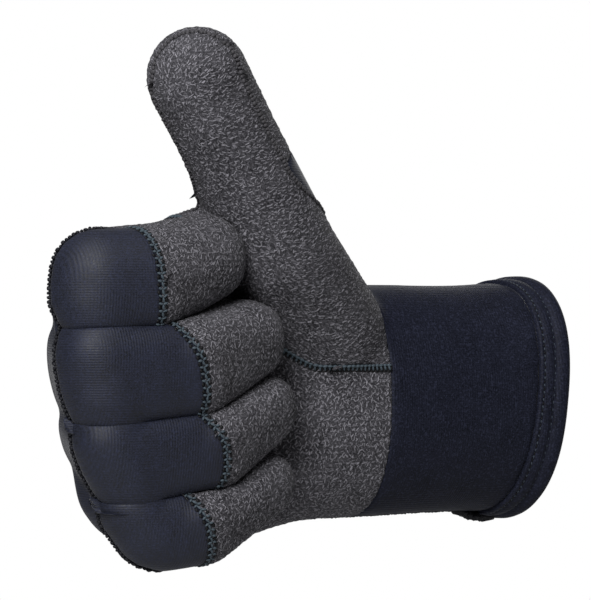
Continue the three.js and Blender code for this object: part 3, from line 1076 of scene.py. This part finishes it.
light = bmesh.new()
shade_beads = bmesh.new()
for spot, along, out in thenar_stations:
    down = -1 if out.cross(along).z > 0 else 1
    bead = (near(0.95), near(0.5), 0.5)
    add_bead(light, spot, along, out, bead, near(0.15, 1.0), -0.3 * MM * down, 0.2 * MM)
    bead = (near(0.95), near(0.36), 0.4)
    turn = math.pi / 2 + near(0.3)
    add_bead(light, spot, along, out, bead, turn, 0.5 * MM * down, 0.15 * MM)
    # Black beads between the teeth: painted shade in the needle holes.
    between_teeth = spot + along * THENAR_PITCH / 2
    add_bead(shade_beads, between_teeth, along, out, (0.42, near(0.95), 0.3), 0, 0.7 * MM * down, 0)
    # A continuous line of black beads below the teeth: a painted shadow, as if cast by the raised
    # seam.
    add_bead(shade_beads, spot, along, out, (0.95, 0.4, 0.3), 0, 1.5 * MM * down, 0)
make_piece("thumb_base_seam_thread", light, pale_thread)
make_piece("thumb_base_seam_holes", shade_beads, painted_shade)

HEM_STITCHES = 104
HEM_STITCH_OUT = 0.72 * MM
half_step = math.pi / HEM_STITCHES
light = bmesh.new()
shade_beads = bmesh.new()
for row, along_mm in enumerate(HEM_ROWS):
    for k in range(HEM_STITCHES):
        turn = 2 * math.pi * (k + 0.4 * row) / HEM_STITCHES
        spot = hem_point(turn, along_mm * MM, HEM_STITCH_OUT)
        after = hem_point(turn + half_step, along_mm * MM, HEM_STITCH_OUT)
        before = hem_point(turn - half_step, along_mm * MM, HEM_STITCH_OUT)
        out = (hem_point(turn, along_mm * MM, HEM_STITCH_OUT + MM) - spot).normalized()
        along = (after - before).normalized()
        bead = (near(0.55), near(0.26), 0.22)
        add_bead(light, spot, along, out, bead, near(0.25, 0.8), 0, 0.06 * MM)
        # A black bead beside each stitch: painted shade in its needle hole.
        add_bead(shade_beads, after, along, out, (near(0.5), near(0.36), 0.16), 0, 0, 0)
make_piece("hem_stitches", light, hem_thread)
make_piece("hem_stitch_holes", shade_beads, painted_shade)

# The raised edges. Where two panels are sewn edge to edge on the hand's outline, the whipped
# edge stands up as a narrow bumpy ridge: black over the knuckles and along the little finger's
# side of the hand and the cuff, and in the grip knit's own grey round the thumb.
def make_overlock(name, places, material, size, lift):
    """A ridge of beads that lean to the left and the right by turns."""
    ridge = bmesh.new()
    for k, (spot, along, out) in enumerate(places):
        if not (along.length and out.length):
            continue
        sway = near(0.35, 0.8) * (1 if k % 2 else -1)
        bead = tuple(near(part, 0.25) for part in size)
        aside = near(0.2, 1.0) * sway * MM
        rise = lift * near(1.0, 0.5) * MM
        add_bead(ridge, spot, along, out, bead, math.pi / 2 + sway, aside, rise)
    make_piece(name, ridge, material)


KNUCKLE_BEAD = (0.95, 0.62, 0.6)
SIDE_BEAD = (0.9, 0.6, 0.5)
THUMB_BEAD = (1.0, 0.7, 0.6)
for name in FINGERS:
    places = knuckle_stations[name]
    make_overlock("knuckle_edge_" + name, places, dark_thread, KNUCKLE_BEAD, 0.15)
side, thumb, tip = (edge_stations[pair] for pair in EDGE_PAIRS)
make_overlock("side_edge", side, dark_thread, SIDE_BEAD, -0.1)
make_overlock("thumb_edge", thumb, grey_thread, THUMB_BEAD, 0.0)
make_overlock("thumb_tip_edge", tip, grey_thread, THUMB_BEAD, 0.0)
CUFF_RIDGE_PITCH = 1.3 * MM
bottom = -math.pi / 2
ridge_places = []
for k in range(round(CUFF_LENGTH / CUFF_RIDGE_PITCH)):
    x = -CUFF_LENGTH + (k + 0.5) * CUFF_RIDGE_PITCH
    spot = on_section(x, bottom)
    if spot.dot(mouthward) < -HEM_WIDTH:
        ridge_places.append((spot, Vector((1, 0, 0)), Vector((0, 0, -1))))
make_overlock("cuff_side_edge", ridge_places, dark_thread, (1.2, 0.6, 0.45), -0.1)
BUMP_START = 21 * MM
BUMP_END = 6 * MM
BUMP_RISE = 1.6 * MM
BUMP_BEADS = 14
bump_places = []
for k in range(BUMP_BEADS):
    x = -BUMP_START + (BUMP_START - BUMP_END) * k / (BUMP_BEADS - 1)
    rise = math.sin(math.pi * (k + 0.5) / BUMP_BEADS) * BUMP_RISE
    bump_places.append((on_section(x, bottom, rise), Vector((1, 0, 0)), Vector((0, 0, -1))))
make_overlock("hem_end_bump", bump_places, dark_thread, (3.2, 1.0, 1.5), 0.0)

# The surroundings: a grey floor well under the glove, which is held up at its cuff, white all
# round, a large soft light from above on the left, and weak ones from above and from behind.
FLOOR_DROP = 60 * MM
FLOOR_RADIUS = 0.42
FLOOR_GREY = (0.5, 0.5, 0.5, 1)
floor_mesh = bpy.data.meshes.new("floor")
disc = bmesh.new()
bmesh.ops.create_circle(disc, cap_ends=True, radius=FLOOR_RADIUS, segments=96)
bmesh.ops.translate(disc, verts=disc.verts, vec=(cad_box[0].x / 2, 0, cad_box[0].z - FLOOR_DROP))
disc.to_mesh(floor_mesh)
floor = bpy.data.objects.new("floor", floor_mesh)
bpy.context.scene.collection.objects.link(floor)
floor_paint = bpy.data.materials.new("grey floor")
floor_paint.use_nodes = True
floor_shader = floor_paint.node_tree.nodes["Principled BSDF"]
floor_shader.inputs["Base Color"].default_value = FLOOR_GREY
floor_mesh.materials.append(floor_paint)

world = bpy.data.worlds.new("white studio")
world.use_nodes = True
studio = world.node_tree
studio.nodes["Background"].inputs["Color"].default_value = (1, 1, 1, 1)
# The world's light on the glove, against 1 for the white that the camera sees
AMBIENT = 0.07
seen = studio.nodes.new("ShaderNodeLightPath")
strength = studio.nodes.new("ShaderNodeMapRange")
strength.inputs["To Min"].default_value = AMBIENT
studio.links.new(seen.outputs["Is Camera Ray"], strength.inputs["Value"])
studio.links.new(strength.outputs[0], studio.nodes["Background"].inputs["Strength"])
bpy.context.scene.world = world
bpy.context.scene.view_settings.view_transform = "Standard"


def softbox(name, place, aim, size, power):
    """A square soft light, turned to its aim."""
    lamp = bpy.data.lights.new(name, "AREA")
    lamp.size = size
    lamp.energy = power
    box = bpy.data.objects.new(name, lamp)
    box.location = place
    box.rotation_euler = (Vector(aim) - Vector(place)).to_track_quat("-Z", "Y").to_euler()
    bpy.context.scene.collection.objects.link(box)


softbox("key_light", (-1.0, -0.8, 0.75), (-0.1, 0, 0), 0.6, 20)
softbox("top_light", (-0.35, -0.2, 1.1), (-0.1, 0, 0), 0.6, 3)
softbox("back_light", (0.95, 0.8, 0.35), (-0.1, 0, 0), 0.8, 5)

# The camera looks from the palm side and a little from the knuckles, level with the glove.
CAMERA_TURN = math.radians(33)
CAMERA_PLACE = (-0.6032, -0.8016, 0.031)
CAMERA_DISTANCE = 1.0
FRAME_WIDTH = 189.1 * MM
SENSOR = 36.0
lens = bpy.data.cameras.new("camera")
lens.sensor_fit = "HORIZONTAL"
lens.sensor_width = SENSOR
lens.lens = SENSOR * CAMERA_DISTANCE / FRAME_WIDTH
camera = bpy.data.objects.new("camera", lens)
camera.location = CAMERA_PLACE
camera.rotation_euler = (math.pi / 2, 0, -CAMERA_TURN)
bpy.context.scene.collection.objects.link(camera)
bpy.context.scene.camera = camera
